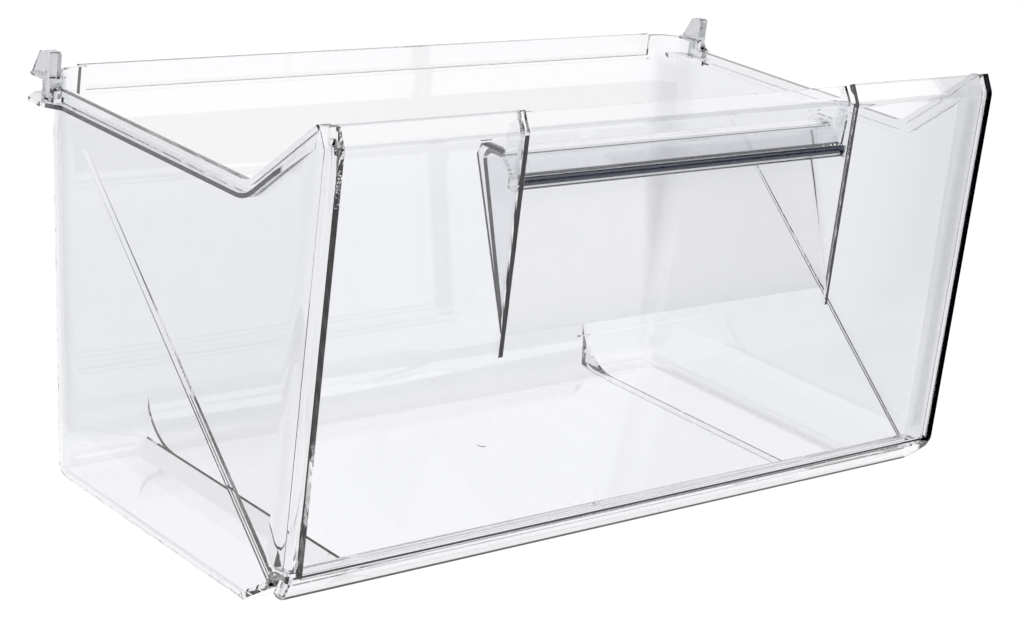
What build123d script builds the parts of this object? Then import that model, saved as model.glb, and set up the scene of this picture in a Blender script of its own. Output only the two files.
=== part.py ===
from build123d import *
import os

# Driving sizes in millimetres. X runs across the drawer, Y from front to back, Z up.
# While building, the front panel's lower bend lies at Y = 0 and the underside at Z = 0.

wall = 2.5
panel_wall = 2.6
cheek_wall = 2.4

# Tub
rim_half_width = 213.0
rim_back = 233.0
rim_corner = 21.0
base_half_width = 210.4
base_back = 208.5
base_corner = 21.0
base_fillet = 8.5
rim_height = 192.0
upstand_height = 197.6
upstand_front = 213.0

# Rim line of the side walls, dipping towards the panel
dip_depth = 59.0
dip_radius = 12.0
peak_depth = 16.0
peak_drop = 1.9
rim_bead_height = 2.6
rim_bead_reach = 1.3

# Slide ledge under the rim
ledge_drop = 5.6
ledge_thickness = 2.2
ledge_reach = 4.0
ledge_front_gap = 3.0
ledge_taper = 22.0
shelf_reach = 10.5
shelf_front = 205.0
shelf_back = 234.0

# Diagonal fold of the side walls
fold_top_depth = 194.0
fold_top_height = 170.5
fold_low_depth = 14.0
fold_low_height = 18.3

# Raised middle of the floor, curving up into the back wall
deck_half_width = 149.5
deck_height = 9.2
deck_ramp = 8.0
deck_front = 50.0
deck_radius = 30.0
deck_blend = 0.4
deck_reach = 70.0

# Front sill, from the floor up to the panel
sill_depth = 44.0
sill_step_depth = 16.0
sill_step_low = 19.5
sill_step_rise = 4.0
sill_top = 27.2
sill_radius = 3.4

# Front panel
panel_overhang = 2.4
foot_depth = 5.6
foot_height = 17.8
low_bend_height = 29.7
high_bend_depth = 3.1
high_bend_height = 221.4
top_lean = 5.0
top_rise = 9.2
bend_radius = 7.0
edge_depth = 5.4
edge_width = 3.2
edge_round = 3.0
edge_back_round = 1.0
foot_round = 0.9
corner_run = 27.0
corner_rise = 9.0

# Thickened front margin of the side walls
jamb_thickness = 3.4
jamb_depth = 8.5
jamb_run = 13.0

# Grip
grip_half_width = 107.0
grip_tip_height = 127.0
pocket_depth = 33.0
pocket_drop = 12.4
pocket_roof = 14.5
pocket_radius = 4.6
tip_blend = 30.0
bar_depth = 9.0
bar_drop = 24.4
bar_width = 6.4
bar_tall = 6.8
flap_setback = 3.4
flap_drop = 1.4

# Rear lugs
lug_front = 215.5
lug_width = 6.0
lug_height = 209.3
lug_reach = 5.4
lug_thickness = 5.8
lug_foot = 5.0
lug_round = 2.2
fin_tip_depth = 231.5
fin_tip_height = 196.8
fin_crest = 4.4
fin_thickness = 2.4
fin_flange = 1.5

# Back band
band_half_width = 191.0
band_low = 183.5
band_offset = 3.0

# Small moulded mark in the middle of the floor
mark_radius = 2.6
mark_height = 0.4
mark_aside = 6.0
mark_depth = 131.0

far = 400.0
ahead = -40.0

# Heights and depths that follow from the sizes above
panel_half_width = rim_half_width + panel_overhang
pocket_top = high_bend_height - pocket_drop
bar_height = high_bend_height - bar_drop
top_depth = high_bend_depth + top_lean
top_height = high_bend_height + top_rise
peak_height = top_height - peak_drop
sill_step_high = sill_step_low + sill_step_rise


def side_prism(points, x_low, x_high):
    """Solid with the given outline in the YZ plane, between two X values."""
    face = Plane.YZ.offset(x_low) * make_face(Polyline(*points, close=True))
    return extrude(face, amount=x_high - x_low, dir=(1, 0, 0))


def front_prism(points, y_low, y_high):
    """Solid with the given outline in the XZ plane, between two Y values."""
    place = Plane(origin=(0, y_low, 0), x_dir=(1, 0, 0), z_dir=(0, -1, 0))
    face = place * make_face(Polyline(*points, close=True))
    return extrude(face, amount=y_high - y_low, dir=(0, 1, 0))


def flat_prism(points, z_low, z_high):
    """Solid with the given outline in the XY plane, between two Z values."""
    face = Plane.XY.offset(z_low) * make_face(Polyline(*points, close=True))
    return extrude(face, amount=z_high - z_low, dir=(0, 0, 1))


def strip(path, width, radius, x_low, x_high):
    """Sheet of even thickness along a rounded path in the YZ plane."""
    line = FilletPolyline(*path, radius=radius)
    face = Plane.YZ.offset(x_low) * trace(line, line_width=width)
    return extrude(face, amount=x_high - x_low, dir=(1, 0, 0))


def tub_section(half_width, back, corner, height):
    """Level outline of the tub with rounded rear corners."""
    outline = Polygon(
        (-half_width, ahead),
        (half_width, ahead),
        (half_width, back),
        (-half_width, back),
        align=None,
    )
    rear = outline.vertices().sort_by(Axis.Y)[-2:]
    return Plane.XY.offset(height) * fillet(rear, corner)


def tub_block(inset):
    """Solid bounded by the tub's walls, moved inwards by inset."""
    draft_side = (rim_half_width - base_half_width) / fold_top_height
    draft_back = (rim_back - base_back) / fold_top_height
    low = tub_section(
        base_half_width + draft_side * inset - inset,
        base_back + draft_back * inset - inset,
        base_corner - inset,
        inset,
    )
    high = tub_section(
        rim_half_width - inset,
        rim_back - inset,
        rim_corner - inset,
        fold_top_height,
    )
    block = loft([low, high])
    bottom = block.faces().sort_by(Axis.Z)[0]
    edges = [e for e in bottom.edges() if e.center().Y > ahead + 1.0]
    block = fillet(edges, base_fillet - inset)
    block = block + extrude(high, amount=far - fold_top_height, dir=(0, 0, 1))
    run = fold_top_depth - fold_low_depth
    rise = fold_top_height - fold_low_height
    length = (run * run + rise * rise) ** 0.5
    shift_y = -inset * rise / length
    shift_z = inset * run / length
    flank = [
        (fold_top_depth + shift_y, fold_top_height + shift_z),
        (fold_low_depth + shift_y, fold_low_height + shift_z),
        (ahead, fold_low_height + shift_z),
        (ahead, far),
        (fold_top_depth + shift_y, far),
    ]
    half = rim_half_width - inset
    return block + side_prism(flank, -half, half)


# Path of the side walls' upper edge, from the rear to the panel
rim_path = [
    (upstand_front + rim_corner, rim_height),
    (dip_depth, rim_height),
    (peak_depth, peak_height),
]


def rim_offset(drop):
    """Rim path moved towards the wall by drop."""
    run = dip_depth - peak_depth
    rise = peak_height - rim_height
    length = (run * run + rise * rise) ** 0.5
    turn = drop * (length - run) / rise
    end_y = peak_depth - drop * rise / length
    end_z = peak_height - drop * run / length
    return [
        (rim_path[0][0], rim_height - drop),
        (dip_depth - turn, rim_height - drop),
        (end_y, end_z),
    ]


# Tub shell
outer = tub_block(0.0)
inner = tub_block(wall)

below_sill = [
    (sill_depth, -20.0),
    (sill_depth, 0.0),
    (sill_step_depth, sill_step_low),
    (sill_step_depth + 0.8, sill_step_high),
    (sill_step_depth - 3.4, sill_step_high + 0.8),
    (sill_step_depth - 9.0, sill_top),
    (ahead - 5.0, sill_top),
    (ahead - 5.0, -20.0),
]
above_sill = [
    (sill_depth + 2.4, wall),
    (sill_step_depth + 4.0, sill_step_low + 1.6),
    (sill_step_depth + 3.6, sill_step_high + 2.6),
    (sill_step_depth - 4.0, sill_top + 1.2),
    (ahead - 5.0, sill_top + 2.4),
]


def sill_space(points, radius):
    """Solid under a rounded sill line, as wide as the whole drawer."""
    low = -20.0
    line = FilletPolyline(*points, radius=radius)
    rest = Polyline(points[-1], (ahead - 5.0, low), (points[0][0], low), points[0])
    face = Plane.YZ.offset(-far) * make_face(Curve() + [line, rest])
    return extrude(face, amount=2 * far, dir=(1, 0, 0))


outer = outer - side_prism(below_sill, -far, far)
inner = inner - sill_space(above_sill, sill_radius)

deck = [
    (-deck_half_width - deck_ramp, wall),
    (-deck_half_width, deck_height),
    (-deck_half_width, deck_height + deck_reach),
    (deck_half_width, deck_height + deck_reach),
    (deck_half_width, deck_height),
    (deck_half_width + deck_ramp, wall),
    (deck_half_width + deck_ramp, -5.0),
    (-deck_half_width - deck_ramp, -5.0),
]


def deck_profile(height, inset, radius):
    """Side outline of the space under a floor level that curves up the back wall."""
    slope = (rim_back - base_back) / fold_top_height
    back_low = base_back + slope * height - inset
    back_high = base_back + slope * (height + deck_reach) - inset
    line = FilletPolyline(
        (ahead, height),
        (back_low, height),
        (back_high, height + deck_reach),
        radius=radius,
    )
    rest = Polyline(
        (back_high, height + deck_reach),
        (far, height + deck_reach),
        (far, -5.0),
        (ahead, -5.0),
        (ahead, height),
    )
    face = Plane.YZ.offset(-far) * make_face(Curve() + [line, rest])
    return extrude(face, amount=2 * far, dir=(1, 0, 0))


deck_block = front_prism(deck, ahead, far) & deck_profile(deck_height, wall - deck_blend, deck_radius)
inner = inner - deck_block
under = deck_half_width - 1.0
hollow = [
    (-under - deck_ramp, -1.0),
    (-under - deck_ramp, 0.0),
    (-under, deck_height - wall),
    (-under, deck_height + deck_reach),
    (under, deck_height + deck_reach),
    (under, deck_height - wall),
    (under + deck_ramp, 0.0),
    (under + deck_ramp, -1.0),
]
hollow_block = front_prism(hollow, deck_front, far)
hollow_block = hollow_block & deck_profile(deck_height - wall, -deck_blend, deck_radius + wall)
outer = outer - hollow_block

tub = outer - inner

# Side walls thicken softly towards the panel
jamb_inside = rim_half_width - wall
jamb_end = jamb_depth + jamb_run
jamb_middle = (jamb_inside - jamb_thickness / 2, jamb_depth + jamb_run / 2)
jamb_hollow = TangentArc((jamb_inside - jamb_thickness, jamb_depth), jamb_middle, tangent=(0, 1))
jamb_swell = TangentArc((jamb_inside, jamb_end), jamb_middle, tangent=(0, -1))
jamb_rest = Polyline(
    (jamb_inside, jamb_end),
    (jamb_inside + wall / 2, jamb_end),
    (jamb_inside + wall / 2, panel_wall / 2),
    (jamb_inside - jamb_thickness, panel_wall / 2),
    (jamb_inside - jamb_thickness, jamb_depth),
)
lean = Vector(0, high_bend_depth, high_bend_height - low_bend_height)
jamb_low = sill_top + wall / 2
jamb_shift = lean.Y / lean.Z * (jamb_low - low_bend_height)
jamb_face = Pos(0, jamb_shift, jamb_low) * make_face(Curve() + [jamb_hollow, jamb_swell, jamb_rest])
jamb = extrude(jamb_face, amount=top_height - jamb_low, dir=lean)
tub = tub + jamb + mirror(jamb, about=Plane.YZ)

above_rim = make_face(
    Polyline(
        (upstand_front, far + 5.0),
        (upstand_front, rim_height),
        (dip_depth, rim_height),
        (peak_depth, peak_height),
        (ahead - 5.0, peak_height),
        (ahead - 5.0, far + 5.0),
        close=True,
    )
)
dip = [v for v in above_rim.vertices() if abs(v.X - dip_depth) < 0.01]
above_rim = fillet(dip, dip_radius)
tub = tub - extrude(Plane.YZ.offset(-far) * above_rim, amount=2 * far, dir=(1, 0, 0))
above_back = Pos(0, upstand_front + far / 2, upstand_height + far / 2) * Box(2 * far, far, far)
tub = tub - above_back

# Everything ahead of the middle of the panel's sheet is cleared
front_line = [
    (foot_depth, foot_height),
    (0.0, low_bend_height),
    (high_bend_depth, high_bend_height),
    (top_depth, top_height),
]
clearing = [(ahead - 10.0, -20.0), (foot_depth + panel_wall / 2, -20.0)]
clearing = clearing + [(y + panel_wall / 2, z) for y, z in front_line]
clearing = clearing + [(top_depth + panel_wall / 2, far + 10.0), (ahead - 10.0, far + 10.0)]
clear_front = side_prism(clearing, -far, far)
tub = tub - clear_front

# Raised band along the top of the back wall
band_mid = (band_low + upstand_height) / 2
band_tall = upstand_height - band_low
band = Pos(0, rim_back - wall / 2 + band_offset / 2, band_mid) * Box(
    2 * band_half_width, wall + band_offset, band_tall
)
pocket = Pos(0, rim_back - wall, band_mid + wall / 2) * Box(
    2 * (band_half_width - wall), 2 * band_offset, band_tall - wall + 0.001
)
tub = tub + band - pocket

# Front panel: one sheet with rounded ends that turn back, swept along its bends
panel_path = Plane.YZ * FilletPolyline(*front_line, radius=bend_radius)
rise_foot = Vector(0, -foot_depth, low_bend_height - foot_height)
panel_place = Plane(origin=(0, foot_depth, foot_height), x_dir=(1, 0, 0), z_dir=rise_foot)
half = panel_half_width
panel_outline = Polygon(
    (-half, 0.0),
    (half, 0.0),
    (half, edge_depth),
    (half - edge_width, edge_depth),
    (half - edge_width, panel_wall),
    (-half + edge_width, panel_wall),
    (-half + edge_width, edge_depth),
    (-half, edge_depth),
    align=None,
)
front_ends = [v for v in panel_outline.vertices() if abs(v.Y) < 0.01]
panel_outline = fillet(front_ends, edge_round)
back_ends = [v for v in panel_outline.vertices() if abs(v.Y - edge_depth) < 0.01]
panel_outline = fillet(back_ends, edge_back_round)
panel = sweep(panel_place * panel_outline, path=panel_path)
blend_run = tip_blend * 0.2
opening_low = grip_tip_height - blend_run
opening = Pos(0, 0, (opening_low + far) / 2) * Box(2 * grip_half_width, 100.0, far - opening_low)
panel = panel - opening

# Wide rounding at the panel's lower right corner
corner_start = panel_half_width - corner_run
arc = ThreePointArc(
    (corner_start, foot_height - 0.2),
    (corner_start + 0.63 * corner_run, foot_height + 0.29 * corner_rise),
    (panel_half_width + 0.2, foot_height + corner_rise),
)
rest = Polyline(
    (panel_half_width + 0.2, foot_height + corner_rise),
    (panel_half_width + 5.0, foot_height + corner_rise),
    (panel_half_width + 5.0, foot_height - 5.0),
    (corner_start, foot_height - 5.0),
    (corner_start, foot_height - 0.2),
)
place = Plane(origin=(0, ahead, 0), x_dir=(1, 0, 0), z_dir=(0, -1, 0))
corner_cut = extrude(place * make_face(Curve() + [arc, rest]), amount=60.0, dir=(0, 1, 0))
panel = panel - corner_cut
foot = panel.faces().sort_by(Axis.Z)[0]
foot_front = [e for e in foot.edges() if e.length > panel_half_width]
panel = fillet(foot_front, foot_round)

# Grip: pocket sheet leaving the panel in a soft curve, folding over to the bar; cheeks and flap
panel_run = high_bend_height - low_bend_height
slope = high_bend_depth / panel_run
stretch = (1.0 + slope * slope) ** 0.5


def panel_middle(height):
    """Point in the middle of the panel's sheet, level with a height on its front."""
    depth = panel_wall / 2
    return (
        slope * (height - low_bend_height) + depth / stretch,
        height - slope * depth / stretch,
    )


tip_depth = slope * (grip_tip_height - low_bend_height)
leave = panel_middle(grip_tip_height - 2 * blend_run)
turn = panel_middle(grip_tip_height)
rear_top = (pocket_depth - panel_wall / 2, pocket_top - panel_wall / 2)
soft_path = FilletPolyline(leave, turn, rear_top, radius=tip_blend)
soft_half = [
    (turn[0] + (rear_top[0] - turn[0]) * 0.5, turn[1] + (rear_top[1] - turn[1]) * 0.5),
    rear_top,
    (pocket_depth - pocket_roof, pocket_top - panel_wall / 2),
    (bar_depth + 0.6, bar_height + 1.0),
]
grip_place = Plane.YZ.offset(-grip_half_width)
sheet_low = trace(soft_path, line_width=panel_wall)
sheet_low = extrude(grip_place * sheet_low, amount=2 * grip_half_width, dir=(1, 0, 0))
above_half = Pos(0, 0, soft_half[0][1] + 2 * panel_wall + far / 2) * Box(far, far, far)
sheet_low = sheet_low - above_half
sheet_high = strip(soft_half, panel_wall, pocket_radius, -grip_half_width, grip_half_width)
sheet = sheet_low + sheet_high
flap_path = [
    (bar_depth, bar_height),
    (high_bend_depth + flap_setback + panel_wall / 2, high_bend_height),
    (top_depth + flap_setback + panel_wall / 3, top_height - flap_drop - 1.0),
]
flap = strip(flap_path, panel_wall, bend_radius, -grip_half_width, grip_half_width)
bar_face = Plane.YZ.offset(-grip_half_width) * (
    Pos(bar_depth, bar_height) * RectangleRounded(bar_width, bar_tall, bar_width / 2 - 0.2)
)
bar = extrude(bar_face, amount=2 * grip_half_width, dir=(1, 0, 0))
cheek_outline = [
    (tip_depth, grip_tip_height - 3.0),
    (pocket_depth + 1.6, pocket_top - 5.0),
    (pocket_depth - 0.6, pocket_top + 0.2),
    (pocket_depth - 4.0, pocket_top + 1.6),
    (pocket_depth - pocket_roof - 1.0, pocket_top + 1.6),
    (top_depth + flap_setback + panel_wall, top_height - 2.2),
    (top_depth, top_height),
    (high_bend_depth, high_bend_height),
]
left_cheek = side_prism(cheek_outline, -grip_half_width - cheek_wall, -grip_half_width)
right_cheek = side_prism(cheek_outline, grip_half_width, grip_half_width + cheek_wall)
grip = sheet + flap + bar + left_cheek + right_cheek

# Slide ledges and rim beads on both side walls
bead_mid = rim_bead_height / 2
bead = strip(
    rim_offset(bead_mid),
    rim_bead_height,
    dip_radius + bead_mid,
    rim_half_width - 1.0,
    rim_half_width + rim_bead_reach,
)
ledge_mid = ledge_drop + ledge_thickness / 2
ledge = strip(
    rim_offset(ledge_mid),
    ledge_thickness,
    dip_radius + ledge_mid,
    rim_half_width - 1.0,
    rim_half_width + ledge_reach,
)
behind = Pos(0, upstand_front + 6.0 + far / 2, rim_height) * Box(4 * far, far, far)
bead = bead - behind
ledge_tip = top_depth + edge_depth + ledge_front_gap
ledge_end = Pos(0, ledge_tip - far / 2, rim_height) * Box(4 * far, far, far)
taper_plan = [
    (rim_half_width + 0.2, ledge_tip),
    (rim_half_width + 2 * ledge_reach, ledge_tip),
    (rim_half_width + 2 * ledge_reach, ledge_tip + 2 * ledge_taper),
]
ledge_end_taper = flat_prism(taper_plan, 0.0, far)
ledge = ledge - behind - ledge_end - ledge_end_taper

shelf_high = rim_height - ledge_drop
shelf_plan = [
    (rim_half_width - 4.0, shelf_front),
    (rim_half_width + ledge_reach, shelf_front),
    (rim_half_width + shelf_reach, shelf_front + 9.0),
    (rim_half_width + shelf_reach, shelf_back - 9.0),
    (rim_half_width + 3.0, shelf_back - 2.0),
    (rim_half_width - 7.0, shelf_back),
    (rim_half_width - 10.0, shelf_back - 7.0),
]
shelf = flat_prism(shelf_plan, shelf_high - ledge_thickness, shelf_high)
shelf = shelf - tub_block(wall)

# Rear lugs with their hooked fins
lug_outer = rim_half_width + lug_reach
lug_back = lug_front + lug_width
lug_start = lug_front - lug_foot
foot_curve = TangentArc((lug_start, rim_height), (lug_front, rim_height + lug_foot), tangent=(1, 0))
post_front = Line((lug_front, rim_height + lug_foot), (lug_front, lug_height - lug_round))
top_curve = TangentArc(
    (lug_front, lug_height - lug_round),
    (lug_front + lug_round, lug_height),
    tangent=(0, 1),
)
lug_rest = Polyline(
    (lug_front + lug_round, lug_height),
    (lug_back, lug_height),
    (lug_back, shelf_high - 1.0),
    (lug_start, shelf_high - 1.0),
    (lug_start, rim_height),
)
lug_inner = lug_outer - lug_thickness
lug_face = make_face(Curve() + [foot_curve, post_front, top_curve, lug_rest])
lug = extrude(Plane.YZ.offset(lug_inner) * lug_face, amount=lug_thickness, dir=(1, 0, 0))
fin_outline = [
    (lug_back - 1.0, lug_height - 0.6),
    (lug_back + fin_crest, lug_height - 1.2),
    (fin_tip_depth, fin_tip_height),
    (fin_tip_depth, fin_tip_height - fin_flange),
    (lug_back - 1.0, fin_tip_height - fin_flange),
]
fin = side_prism(fin_outline, lug_outer - fin_thickness, lug_outer)
flange_outline = [
    (lug_back - 0.2, fin_tip_height),
    (fin_tip_depth, fin_tip_height),
    (fin_tip_depth, fin_tip_height - fin_flange),
    (lug_back - 0.2, fin_tip_height - fin_flange),
]
flange = side_prism(flange_outline, lug_inner + 0.4, lug_outer + 0.8)

right_side = bead + ledge + shelf + lug + fin + flange
left_side = mirror(right_side, about=Plane.YZ)

mark_middle = deck_height + mark_height / 2 - 0.1
floor_mark = Pos(mark_aside, mark_depth, mark_middle) * Cylinder(mark_radius, mark_height + 0.2)

drawer = tub + panel + grip + right_side + left_side + floor_mark

# The bounding box rests on the ground plane, centred on the vertical axis
box = drawer.bounding_box()
centre = box.center()
drawer = Pos(-centre.X, -centre.Y, -box.min.Z) * drawer

os.makedirs("parts", exist_ok=True)
export_step(drawer, "parts/drawer.step")
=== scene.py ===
"""A clear moulded freezer drawer on a pale floor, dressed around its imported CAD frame."""

from __future__ import annotations

import logging
import math
from dataclasses import dataclass, field
from enum import Enum
from typing import Any, Optional, Union

import bpy
from mathutils import Matrix, Vector


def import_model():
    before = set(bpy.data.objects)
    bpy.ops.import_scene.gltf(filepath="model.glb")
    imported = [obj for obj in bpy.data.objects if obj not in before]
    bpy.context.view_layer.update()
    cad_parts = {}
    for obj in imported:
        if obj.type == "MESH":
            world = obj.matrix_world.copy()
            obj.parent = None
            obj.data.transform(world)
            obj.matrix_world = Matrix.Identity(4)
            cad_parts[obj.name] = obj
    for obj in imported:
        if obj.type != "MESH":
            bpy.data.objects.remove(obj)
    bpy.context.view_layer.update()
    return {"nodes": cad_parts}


LOG = logging.getLogger("drawer")

Colour = tuple[float, float, float]
Point = tuple[float, float, float]
Pair = tuple[float, float]


class Term:
    """A number socket of a shader, with Python's operators for Math nodes."""

    def __init__(self, sheet: "NodeSheet", socket: bpy.types.NodeSocket) -> None:
        """Wraps a socket.

        Args:
            sheet: the node sheet that new Math nodes go to.
            socket: the output socket to wrap.
        """
        self.sheet = sheet
        self.socket = socket

    def _math(self, operation: str, first: Any, second: Any = 0.0) -> "Term":
        """Adds a Math node for two terms or numbers."""
        return self.sheet.node("ShaderNodeMath", {"operation": operation}, {0: first, 1: second})

    def __add__(self, other: Any) -> "Term":
        """Sum of two terms."""
        return self._math("ADD", self, other)

    def __radd__(self, other: Any) -> "Term":
        """Sum with a number on the left."""
        return self._math("ADD", other, self)

    def __sub__(self, other: Any) -> "Term":
        """Difference of two terms."""
        return self._math("SUBTRACT", self, other)

    def __rsub__(self, other: Any) -> "Term":
        """Difference with a number on the left."""
        return self._math("SUBTRACT", other, self)

    def __mul__(self, other: Any) -> "Term":
        """Product of two terms."""
        return self._math("MULTIPLY", self, other)

    def __rmul__(self, other: Any) -> "Term":
        """Product with a number on the left."""
        return self._math("MULTIPLY", other, self)

    def absolute(self) -> "Term":
        """Size of this term without its sign."""
        return self._math("ABSOLUTE", self)

    def larger(self, other: Any) -> "Term":
        """The larger of two terms."""
        return self._math("MAXIMUM", self, other)

    def above(self, limit: Any) -> "Term":
        """One where this term is above a limit, and zero elsewhere."""
        return self._math("GREATER_THAN", self, limit)


class NodeSheet:
    """The node tree of one material or world."""

    def __init__(self, tree: bpy.types.NodeTree) -> None:
        """Empties the tree.

        Args:
            tree: the node tree to fill.
        """
        self.tree = tree
        self.tree.nodes.clear()

    def raw(
        self,
        kind: str,
        settings: Optional[dict[str, Any]] = None,
        inputs: Optional[dict[Any, Any]] = None,
    ) -> bpy.types.Node:
        """Adds a node.

        Args:
            kind: the node's type name.
            settings: properties of the node, set first.
            inputs: socket names or numbers, with values, sockets or terms.

        Returns:
            The node.
        """
        node = self.tree.nodes.new(kind)
        for name, value in (settings or {}).items():
            setattr(node, name, value)
        for name, value in (inputs or {}).items():
            socket = node.inputs[name]
            if isinstance(value, Term):
                self.tree.links.new(value.socket, socket)
            elif isinstance(value, bpy.types.NodeSocket):
                self.tree.links.new(value, socket)
            else:
                socket.default_value = value
        return node

    def node(
        self,
        kind: str,
        settings: Optional[dict[str, Any]] = None,
        inputs: Optional[dict[Any, Any]] = None,
        output: Union[str, int] = 0,
    ) -> Term:
        """Adds a node and wraps one of its outputs.

        Args:
            kind: the node's type name.
            settings: properties of the node, set first.
            inputs: socket names or numbers, with values, sockets or terms.
            output: the output's name or number.

        Returns:
            The wrapped output.
        """
        return Term(self, self.raw(kind, settings, inputs).outputs[output])

    def rise(self, value: Term, low: float, high: float) -> Term:
        """Soft step of a term.

        Args:
            value: the term to follow.
            low: the value where the step starts at zero.
            high: the value where the step reaches one.

        Returns:
            A term from zero to one.
        """
        return self.node(
            "ShaderNodeMapRange",
            {"interpolation_type": "SMOOTHSTEP"},
            {"Value": value, "From Min": low, "From Max": high},
        )

    def vector(self, x: Term, y: Term, z: Term) -> Term:
        """Joins three terms to a vector."""
        return self.node("ShaderNodeCombineXYZ", inputs={"X": x, "Y": y, "Z": z})

    def mix(self, share: Term, first: Any, second: Any) -> Term:
        """Mixes two colours.

        Args:
            share: share of the second colour, from zero to one.
            first: the colour where the share is zero.
            second: the colour where the share is one.

        Returns:
            The mixed colour.
        """
        settings = {"data_type": "RGBA"}
        return self.node("ShaderNodeMix", settings, {0: share, 6: first, 7: second}, output=2)

    def inside(self, place: Term, low: Point, high: Point, soft: float) -> Term:
        """Mask of a box with soft sides.

        Args:
            place: the point to test.
            low: the box's lowest corner.
            high: the box's highest corner.
            soft: width over which the mask fades at the sides.

        Returns:
            One inside the box and zero outside.
        """
        middle = tuple((a + b) / 2 for a, b in zip(low, high))
        half = tuple((b - a) / 2 for a, b in zip(low, high))
        off = self.node("ShaderNodeVectorMath", {"operation": "SUBTRACT"}, {0: place, 1: middle})
        size = self.node("ShaderNodeVectorMath", {"operation": "ABSOLUTE"}, {0: off})
        beyond = self.raw("ShaderNodeVectorMath", {"operation": "SUBTRACT"}, {0: size, 1: half})
        parts = self.raw("ShaderNodeSeparateXYZ", inputs={"Vector": beyond.outputs[0]})
        x, y, z = (Term(self, socket) for socket in parts.outputs)
        return self.rise(x.larger(y).larger(z), soft, -soft)


class Zone(Enum):
    """Part of the drawer with painted shade and painted light of its own."""

    TUB = "tub"
    PANEL = "panel"
    GRIP = "grip"


class Measure(Enum):
    """Coordinates that a painted shading box is given in."""

    PLAIN = "plain"
    MIRRORED = "mirrored"
    PANEL = "panel"
    FOLD = "fold"
    POCKET = "pocket"


class Facing(Enum):
    """Faces in a box that take the painted shading, by the way they face."""

    ANY = "any"
    SIDE = "side"
    EDGE = "edge"
    LEVEL = "level"


@dataclass(frozen=True)
class PaintedShading:
    """A box whose colour is painted into the plastic: painted shade where it is darker than the plain
    plastic, painted light where it is paler, in place of the dark and bright lines that refraction
    gives.

    Attributes:
        low: lowest corner of the place's box, in metres.
        high: highest corner of the place's box, in metres.
        colour: the painted colour there, darker for painted shade and paler for painted light.
        soft: width over which the painted colour fades at the box's sides.
        measure: coordinates of the box.
        facing: faces that take the painted colour.
    """

    low: Point
    high: Point
    colour: Colour
    soft: float = 0.0002
    measure: Measure = Measure.MIRRORED
    facing: Facing = Facing.ANY


# Painted colours laid into the plastic in place of light and shade. The dark ones are painted shade
# for the black lines, the dark bar and the greyer walls that refraction of the dark room gives. The
# mid grey is painted shade on the drawer and a painted reflection stripe on the bar. The two palest
# are painted light.
PAINTED_NAVY_SHADE: Colour = (0.004, 0.0048, 0.010)
PAINTED_BLACK_SHADE: Colour = (0.0003, 0.0003, 0.0005)
PAINTED_NEAR_BLACK_SHADE: Colour = (0.014, 0.0145, 0.018)
PAINTED_DARK_GREY_SHADE: Colour = (0.11, 0.113, 0.125)
PAINTED_MID_GREY: Colour = (0.60, 0.605, 0.63)
PAINTED_GREY_SHADE: Colour = (0.76, 0.765, 0.79)
PAINTED_PALE_GREY_SHADE: Colour = (0.83, 0.835, 0.855)
PAINTED_FAINT_SHADE: Colour = (0.89, 0.895, 0.915)
PAINTED_MILD_LIGHT: Colour = (0.957, 0.96, 0.97)
PAINTED_FULL_LIGHT: Colour = (0.99, 0.99, 0.995)

# Painted shade greying the side walls, painted light on the strip at the panel's top, painted shade
# along the top edge, and painted black shade lines along the cheeks.
SIDE_WALL_PAINTED_SHADE = PaintedShading((0.2085, -0.2, 0.03), (0.22, 0.2, 0.24), PAINTED_PALE_GREY_SHADE, 0.001, facing=Facing.SIDE)
TOP_STRIP_PAINTED_LIGHT = PaintedShading((-1.0, -0.01, 0.2222), (1.0, 0.016, 0.24), PAINTED_FULL_LIGHT, 0.0005, Measure.PANEL)
TOP_EDGE_PAINTED_SHADE = PaintedShading((-1.0, -0.2, 0.2297), (1.0, -0.1, 0.25), PAINTED_MID_GREY, 0.0002, Measure.PLAIN)
LEFT_CHEEK_PAINTED_SHADE = PaintedShading((-0.1098, -0.001, 0.118), (-0.1070, 0.0022, 0.2205), PAINTED_BLACK_SHADE, 0.0002, Measure.PANEL)
RIGHT_CHEEK_PAINTED_SHADE = PaintedShading((0.1074, -0.001, 0.118), (0.1092, 0.0016, 0.2225), PAINTED_BLACK_SHADE, 0.0002, Measure.PANEL)

# Painted shade and painted light of each zone, in place of what refraction of the room gives.
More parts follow.
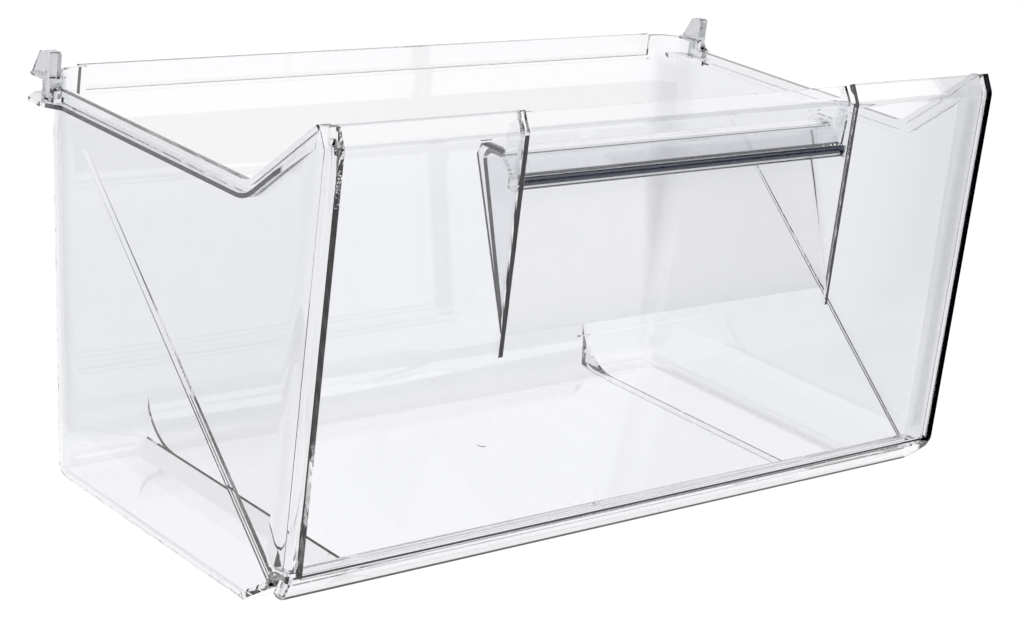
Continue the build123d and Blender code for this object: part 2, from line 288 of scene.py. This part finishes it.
PAINTED_SHADING: dict[Zone, tuple[PaintedShading, ...]] = {
    Zone.TUB: (
        # painted light over the floor and painted shade along its lower edges
        PaintedShading((-1.0, -0.074, -0.01), (1.0, 0.095, 0.0125), PAINTED_FULL_LIGHT, 0.004, Measure.PLAIN),
        PaintedShading((0.2005, -0.09, -0.01), (0.2125, 0.088, 0.0030), PAINTED_GREY_SHADE, 0.001),
        # painted shade on the side walls and rear corners, painted light on the upper back wall
        SIDE_WALL_PAINTED_SHADE,
        PaintedShading((0.2005, -0.2, 0.004), (0.22, 0.2, 0.0305), PAINTED_FAINT_SHADE, 0.001, facing=Facing.SIDE),
        PaintedShading((0.197, 0.094, 0.02), (0.216, 0.13, 0.184), PAINTED_GREY_SHADE, 0.006),
        PaintedShading((-0.19, 0.09, 0.13), (0.19, 0.13, 0.20), PAINTED_MILD_LIGHT, 0.02, Measure.PLAIN),
        # painted dark shade lines on the slide ledges and rim
        PaintedShading((-0.23, -0.115, 0.18), (-0.2162, 0.094, 0.24), PAINTED_NEAR_BLACK_SHADE, 0.0002, Measure.PLAIN, Facing.SIDE),
        PaintedShading((0.2100, -0.10, 0.1895), (0.2146, 0.096, 0.24), PAINTED_DARK_GREY_SHADE, facing=Facing.LEVEL),
        # painted black shade line at the lower end of the left fold
        PaintedShading((-0.22, -0.002, -0.0005), (-0.2040, 0.10, 0.0005), PAINTED_BLACK_SHADE, 0.0003, Measure.FOLD),
        # painted shade on the rear lugs
        PaintedShading((0.2122, 0.094, 0.1860), (0.23, 0.13, 0.24), PAINTED_MID_GREY),
    ),
    Zone.PANEL: (
        SIDE_WALL_PAINTED_SHADE,
        TOP_STRIP_PAINTED_LIGHT,
        TOP_EDGE_PAINTED_SHADE,
        LEFT_CHEEK_PAINTED_SHADE,
        RIGHT_CHEEK_PAINTED_SHADE,
        # painted shade over the right part and a painted black shade line at the right end
        PaintedShading((0.170, -0.002, 0.13), (0.40, 0.006, 0.40), PAINTED_GREY_SHADE, 0.06, Measure.PANEL),
        PaintedShading((0.1955, -0.001, 0.04), (0.2015, 0.0012, 0.218), PAINTED_MID_GREY, 0.003, Measure.PANEL),
        PaintedShading((0.2088, -0.001, 0.02), (0.22, 0.0056, 0.25), PAINTED_BLACK_SHADE, 0.0002, Measure.PANEL),
        # painted black shade lines along the sill and the foot
        PaintedShading((-0.2128, -0.001, 0.0300), (0.2118, 0.0012, 0.0312), PAINTED_BLACK_SHADE, 0.0001, Measure.PANEL),
        PaintedShading((-0.2128, -0.1180, 0.0170), (0.2000, -0.1105, 0.0199), PAINTED_BLACK_SHADE, 0.0002, Measure.PLAIN),
    ),
    Zone.GRIP: (
        TOP_STRIP_PAINTED_LIGHT,
        TOP_EDGE_PAINTED_SHADE,
        # painted light in the pocket
        PaintedShading((-0.1066, -0.1150, 0.132), (0.1066, -0.08, 0.184), PAINTED_FULL_LIGHT, 0.008, Measure.PLAIN),
        # painted dark shade on the bar, with a painted reflection stripe
        PaintedShading((-0.1071, -0.1130, 0.1940), (0.1071, -0.1050, 0.2000), PAINTED_NAVY_SHADE, measure=Measure.PLAIN),
        PaintedShading((-0.1071, -0.1130, 0.1953), (0.1071, -0.1050, 0.1963), PAINTED_MID_GREY, 0.0001, Measure.PLAIN),
        # painted black shade lines along the edges of the cheeks
        LEFT_CHEEK_PAINTED_SHADE,
        RIGHT_CHEEK_PAINTED_SHADE,
        PaintedShading((0.1068, -0.125, 0.2195), (0.1096, -0.09, 0.24), PAINTED_BLACK_SHADE, 0.0002, Measure.PLAIN, Facing.EDGE),
        PaintedShading((-0.1098, -0.001, -0.0006), (-0.1085, 0.0885, 0.0012), PAINTED_BLACK_SHADE, 0.0002, Measure.POCKET),
        PaintedShading((-0.1098, -0.1005, 0.2086), (-0.1066, -0.0830, 0.2112), PAINTED_BLACK_SHADE, 0.0002, Measure.PLAIN),
    ),
}


@dataclass(frozen=True)
class ClearPlastic:
    """Glossy see-through moulding plastic of one zone, with painted shade and painted light laid into
    its colour, and faint specks.
    """

    zone: Zone
    ior: float = 1.57
    pale: Colour = (0.925, 0.93, 0.945)
    deep: Colour = (0.895, 0.90, 0.92)
    cloud_scale: float = 7.0
    flow_depth: float = 0.00012
    speck_scale: float = 240.0
    speck_start: Pair = (0.79, 0.83)
    speck_roughness: float = 0.15
    side_share: float = 0.6
    edge_share: float = 0.5
    level_share: float = 0.6
    panel_front: float = -0.118
    panel_low: float = 0.0297
    panel_slope: float = 3.1 / 191.7
    fold_low: Pair = (-0.104, 0.0183)
    fold_way: Pair = (180.0, 152.2)
    pocket_low: Pair = (-0.11643, 0.124)
    pocket_way: Pair = (33.0, 80.0)

    def places(self, sheet: NodeSheet, place: Term) -> dict[Measure, Term]:
        """Gives a point's coordinates in each measure.

        Args:
            sheet: the node sheet.
            place: the point, in the part's frame.

        Returns:
            One vector per measure.
        """
        parts = sheet.raw("ShaderNodeSeparateXYZ", inputs={"Vector": place})
        x, y, z = (Term(sheet, socket) for socket in parts.outputs)
        aside = x.absolute()
        depth = y - self.panel_front - self.panel_slope * (z - self.panel_low)
        return {
            Measure.PLAIN: place,
            Measure.MIRRORED: sheet.vector(aside, y, z),
            Measure.PANEL: sheet.vector(x, depth, z),
            Measure.FOLD: self.slanted(sheet, (x, y, z), self.fold_low, self.fold_way),
            Measure.POCKET: self.slanted(sheet, (x, y, z), self.pocket_low, self.pocket_way),
        }

    @staticmethod
    def slanted(
        sheet: NodeSheet,
        parts: tuple[Term, Term, Term],
        low: Pair,
        way: Pair,
    ) -> Term:
        """Gives coordinates along and across a line that rises to the rear.

        Args:
            sheet: the node sheet.
            parts: the point's coordinates.
            low: y and z of the line's lower end.
            way: run to the rear and rise of the line.

        Returns:
            The vector of x, the way along the line and the way above it.
        """
        x, y, z = parts
        length = math.hypot(*way)
        run, rise = (value / length for value in way)
        back = y - low[0]
        up = z - low[1]
        return sheet.vector(x, back * run + up * rise, up * run - back * rise)

    def facings(self, sheet: NodeSheet) -> dict[Facing, Term]:
        """Gives masks of the ways that faces look.

        Args:
            sheet: the node sheet.

        Returns:
            One mask per facing, apart from any.
        """
        normal = sheet.node("ShaderNodeNewGeometry", output="Normal")
        parts = sheet.raw("ShaderNodeSeparateXYZ", inputs={"Vector": normal})
        aside = Term(sheet, parts.outputs["X"]).absolute()
        level = Term(sheet, parts.outputs["Z"]).absolute()
        return {
            Facing.SIDE: aside.above(self.side_share),
            Facing.EDGE: 1.0 - aside.above(self.edge_share),
            Facing.LEVEL: level.above(self.level_share),
        }

    def paint_shading(self, sheet: NodeSheet, place: Term, cloud: Term) -> Term:
        """Lays the painted shade and painted light over the plain plastic.

        Args:
            sheet: the node sheet.
            place: the point, in the part's frame.
            cloud: slow variation from zero to one.

        Returns:
            The plastic's colour, with the painted shade and painted light.
        """
        places = self.places(sheet, place)
        facings = self.facings(sheet)
        colour = sheet.mix(cloud, (*self.pale, 1.0), (*self.deep, 1.0))
        for painted in PAINTED_SHADING[self.zone]:
            mask = sheet.inside(places[painted.measure], painted.low, painted.high, painted.soft)
            if painted.facing is not Facing.ANY:
                mask = mask * facings[painted.facing]
            colour = sheet.mix(mask, colour, (*painted.colour, 1.0))
        return colour

    def material(self) -> bpy.types.Material:
        """Builds the plastic.

        Returns:
            The finished material.
        """
        made = bpy.data.materials.new(f"clear_plastic_painted_shading_{self.zone.value}")
        made.use_nodes = True
        sheet = NodeSheet(made.node_tree)
        place = sheet.node("ShaderNodeTexCoord", output="Object")
        cloud = sheet.node(
            "ShaderNodeTexNoise",
            inputs={"Vector": place, "Scale": self.cloud_scale, "Detail": 0.0},
            output="Fac",
        )
        speck = sheet.node(
            "ShaderNodeTexNoise",
            inputs={"Vector": place, "Scale": self.speck_scale, "Detail": 0.0},
            output="Fac",
        )
        waves = sheet.node(
            "ShaderNodeBump",
            inputs={"Height": cloud, "Strength": 1.0, "Distance": self.flow_depth},
        )
        surface = sheet.node(
            "ShaderNodeBsdfPrincipled",
            inputs={
                # base colour carries the painted shade and painted light
                "Base Color": self.paint_shading(sheet, place, cloud),
                "Roughness": self.speck_roughness * sheet.rise(speck, *self.speck_start),
                "Normal": waves,
                "IOR": self.ior,
                "Transmission Weight": 1.0,
            },
        )
        sheet.raw("ShaderNodeOutputMaterial", inputs={"Surface": surface})
        return made


@dataclass(frozen=True)
class PaleFloor:
    """Matt pale floor that is lit like a bright table."""

    name: str = "pale_floor"
    colour: Colour = (0.12, 0.12, 0.12)
    roughness: float = 0.9
    glow: float = 0.99

    def material(self) -> bpy.types.Material:
        """Builds the floor's finish.

        Returns:
            The finished material.
        """
        made = bpy.data.materials.new(self.name)
        made.use_nodes = True
        sheet = NodeSheet(made.node_tree)
        surface = sheet.node(
            "ShaderNodeBsdfPrincipled",
            inputs={
                "Base Color": (*self.colour, 1.0),
                "Roughness": self.roughness,
                "Emission Color": (1.0, 1.0, 1.0, 1.0),
                "Emission Strength": self.glow,
            },
        )
        sheet.raw("ShaderNodeOutputMaterial", inputs={"Surface": surface})
        return made


@dataclass(frozen=True)
class DarkCard:
    """Matt dark card that keeps light off an edge."""

    name: str = "dark_card"
    colour: Colour = (0.01, 0.01, 0.012)
    roughness: float = 1.0

    def material(self) -> bpy.types.Material:
        """Builds the card's finish.

        Returns:
            The finished material.
        """
        made = bpy.data.materials.new(self.name)
        made.use_nodes = True
        sheet = NodeSheet(made.node_tree)
        surface = sheet.node(
            "ShaderNodeBsdfDiffuse",
            inputs={"Color": (*self.colour, 1.0), "Roughness": self.roughness},
        )
        sheet.raw("ShaderNodeOutputMaterial", inputs={"Surface": surface})
        return made


@dataclass
class Drawer:
    """The moulded drawer: the CAD solid with its finish."""

    nodes: dict[str, bpy.types.Object]
    node: str = "drawer"
    panel_back: float = -0.100
    grip_half: float = 0.111
    grip_low: float = 0.115
    grip_back: float = -0.075

    def build(self) -> bpy.types.Object:
        """Finds the drawer's object, whose solid is kept as it is.

        Returns:
            The drawer's object.
        """
        return self.nodes[self.node]

    def zone_of(self, points: list[Vector]) -> Zone:
        """Finds the zone of a face.

        Args:
            points: the face's corners, in the part's frame.

        Returns:
            The zone that holds all of the corners.
        """
        aside = max(abs(point.x) for point in points)
        back = max(point.y for point in points)
        low = min(point.z for point in points)
        if aside < self.grip_half and low > self.grip_low and back < self.grip_back:
            return Zone.GRIP
        return Zone.PANEL if back < self.panel_back else Zone.TUB

    def dress(self) -> None:
        """Gives each zone of the drawer its plastic, with the zone's painted shade and painted light.
        """
        piece = self.nodes[self.node]
        mesh = piece.data
        mesh.materials.clear()
        for zone in Zone:
            mesh.materials.append(ClearPlastic(zone).material())
        slots = {zone: slot for slot, zone in enumerate(Zone)}
        for face in mesh.polygons:
            points = [piece.matrix_world @ mesh.vertices[i].co for i in face.vertices]
            face.material_index = slots[self.zone_of(points)]


@dataclass(frozen=True)
class Softbox:
    """A large rectangular studio light."""

    name: str
    place: Point
    aim: Point
    size: Pair
    power: float

    def build(self) -> bpy.types.Object:
        """Adds the light.

        Returns:
            The light's object.
        """
        data = bpy.data.lights.new(self.name, "AREA")
        data.shape = "RECTANGLE"
        data.size, data.size_y = self.size
        data.energy = self.power
        lamp = bpy.data.objects.new(self.name, data)
        lamp.location = self.place
        direction = Vector(self.aim) - Vector(self.place)
        lamp.rotation_mode = "QUATERNION"
        lamp.rotation_quaternion = direction.to_track_quat("-Z", "Y")
        bpy.context.scene.collection.objects.link(lamp)
        return lamp


@dataclass
class Studio:
    """Pale floor, soft light and the camera."""

    floor_reach: float = 4.0
    floor_sides: int = 96
    floor_drop: float = 0.0002
    floor_finish: PaleFloor = field(default_factory=PaleFloor)
    flag_finish: DarkCard = field(default_factory=DarkCard)
    flag_aside: float = 0.245
    flag_run: Pair = (-0.160, -0.088)
    flag_height: float = 0.30
    room_grey: float = 0.03
    room_white: float = 1.0
    bright_side: Point = (0.68, 0.73, 0.0)
    bright_turn: Pair = (0.35, 0.6)
    bright_top: Pair = (0.45, 0.6)
    bounces: int = 48
    azimuth: float = -43.08
    elevation: float = 17.89
    roll: float = 7.68
    distance: float = 1.26059
    aim: Point = (0.0, -0.018, 0.100)
    aside: float = -0.01023
    rise: float = -0.00393
    focal_pixels: float = 2499.29
    image_width: float = 1024.0
    sensor: float = 36.0

    def build_floor(self) -> bpy.types.Object:
        """Adds a round floor under the drawer.

        Returns:
            The floor's object.
        """
        turns = [2 * math.pi * i / self.floor_sides for i in range(self.floor_sides)]
        reach = self.floor_reach
        points = [(reach * math.cos(turn), reach * math.sin(turn), -self.floor_drop) for turn in turns]
        mesh = bpy.data.meshes.new("floor")
        mesh.from_pydata(points, [], [tuple(range(self.floor_sides))])
        mesh.materials.append(self.floor_finish.material())
        floor = bpy.data.objects.new("floor", mesh)
        bpy.context.scene.collection.objects.link(floor)
        return floor

    def build_flag(self) -> bpy.types.Object:
        """Adds a dark card beside the panel's right end, out of the camera's own sight.

        Returns:
            The card's object.
        """
        x = self.flag_aside
        front, back = self.flag_run
        mesh = bpy.data.meshes.new("flag")
        corners = [
            (x, front, 0.0),
            (x, back, 0.0),
            (x, back, self.flag_height),
            (x, front, self.flag_height),
        ]
        mesh.from_pydata(corners, [], [(0, 1, 2, 3)])
        mesh.materials.append(self.flag_finish.material())
        flag = bpy.data.objects.new("flag", mesh)
        flag.visible_camera = False
        flag.visible_diffuse = False
        flag.visible_transmission = False
        flag.visible_shadow = False
        bpy.context.scene.collection.objects.link(flag)
        return flag

    def build_room(self) -> None:
        """Sets the dark room with its low bright side, and how far light is followed."""
        world = bpy.data.worlds.new("room")
        world.use_nodes = True
        sheet = NodeSheet(world.node_tree)
        way = sheet.node("ShaderNodeTexCoord", output="Generated")
        towards = sheet.node(
            "ShaderNodeVectorMath",
            {"operation": "DOT_PRODUCT"},
            {0: way, 1: Vector(self.bright_side).normalized()},
            output="Value",
        )
        height = sheet.node("ShaderNodeSeparateXYZ", inputs={"Vector": way}, output="Z")
        low = 1.0 - sheet.rise(height, *self.bright_top)
        share = self.room_grey + self.room_white * low * sheet.rise(towards, *self.bright_turn)
        light = sheet.node(
            "ShaderNodeBackground",
            inputs={"Color": (1.0, 1.0, 1.0, 1.0), "Strength": share},
        )
        sheet.raw("ShaderNodeOutputWorld", inputs={"Surface": light})
        scene = bpy.context.scene
        scene.world = world
        scene.view_settings.view_transform = "Standard"
        scene.cycles.max_bounces = self.bounces
        scene.cycles.glossy_bounces = self.bounces
        scene.cycles.transmission_bounces = self.bounces

    def build_lights(self) -> list[bpy.types.Object]:
        """Adds the softboxes.

        Returns:
            The lights' objects.
        """
        boxes = [
            Softbox("softbox_top", (0.1, 0.35, 1.7), (0.0, 0.1, 0.0), (1.8, 1.2), 3.0),
            Softbox("softbox_left", (-1.7, 0.5, 0.9), (0.0, 0.0, 0.1), (0.7, 1.1), 3.0),
            Softbox("softbox_front", (1.1, -1.3, 1.35), (0.0, 0.0, 0.2), (1.2, 1.0), 5.0),
        ]
        return [box.build() for box in boxes]

    def build_camera(self) -> bpy.types.Object:
        """Sets the camera at the photograph's angle.

        Returns:
            The camera's object.
        """
        turn = math.radians(self.azimuth)
        tilt = math.radians(self.elevation)
        lean = math.radians(self.roll)
        back = Vector(
            (
                math.sin(turn) * math.cos(tilt),
                -math.cos(turn) * math.cos(tilt),
                math.sin(tilt),
            )
        )
        level = Vector((0.0, 0.0, 1.0)).cross(back).normalized()
        upright = back.cross(level)
        right = level * math.cos(lean) + upright * math.sin(lean)
        up = upright * math.cos(lean) - level * math.sin(lean)
        data = bpy.data.cameras.new("camera")
        data.sensor_fit = "HORIZONTAL"
        data.sensor_width = self.sensor
        data.lens = self.focal_pixels * self.sensor / self.image_width
        camera = bpy.data.objects.new("camera", data)
        place = Vector(self.aim) + back * self.distance + right * self.aside + up * self.rise
        turned = Matrix((right, up, back)).transposed().to_4x4()
        camera.matrix_world = Matrix.Translation(place) @ turned
        bpy.context.scene.collection.objects.link(camera)
        bpy.context.scene.camera = camera
        return camera


def main() -> None:
    """Builds the drawer and its studio in order."""
    logging.basicConfig(level=logging.INFO, format="%(name)s: %(message)s")
    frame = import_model()
    drawer = Drawer(frame["nodes"])
    piece = drawer.build()
    drawer.dress()
    LOG.info("piece %s with %d faces", piece.name, len(piece.data.polygons))
    studio = Studio()
    LOG.info("floor %s", studio.build_floor().name)
    LOG.info("card %s", studio.build_flag().name)
    studio.build_room()
    for lamp in studio.build_lights():
        LOG.info("light %s", lamp.name)
    LOG.info("camera %s", studio.build_camera().name)


if __name__ == "__main__":
    main()
